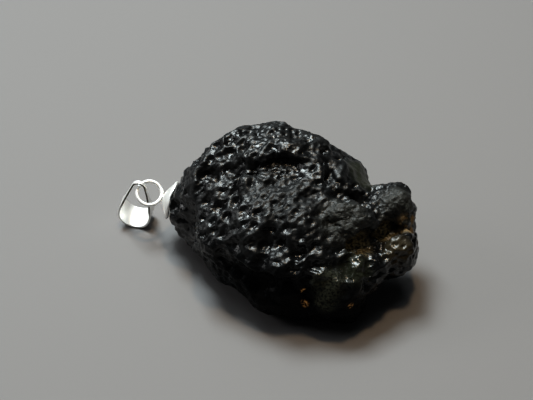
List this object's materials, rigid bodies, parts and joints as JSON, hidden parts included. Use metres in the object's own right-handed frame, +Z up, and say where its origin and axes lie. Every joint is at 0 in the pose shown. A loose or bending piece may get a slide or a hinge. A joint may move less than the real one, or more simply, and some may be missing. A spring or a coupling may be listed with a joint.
{
  "type": "tektite pendant",
  "caption": "Black glassy pitted tektite lying on a small flat spot, with a silver end cap, an eye ring and a bail that swings on it.",
  "frame": {"origin": "middle of the bottom of the bounding box, on the surface that the stone rests on", "axes": "+X along the stone's length, from the silver fitting to the wide end; +Y from the stone's front to its high back; +Z up from its flat spot"},
  "size_m": [0.0408, 0.0254, 0.0183],
  "materials": {
    "natural_glass": "gloss",
    "silver": "polished"
  },
  "bodies": {
    "pendant": {"tektite": "natural_glass", "end_cap": "silver", "eye_ring": "silver"},
    "bail_strip": {"bail": "silver"}
  },
  "joints": [
    {"name": "bail_swing", "type": "hinge", "parent": "pendant", "child": "bail_strip", "pos_m": [-0.017, 0.00813, 0.00766], "axis": [0.535, 0.75, 0.389], "range_deg": [-32, 212]}
  ]
}
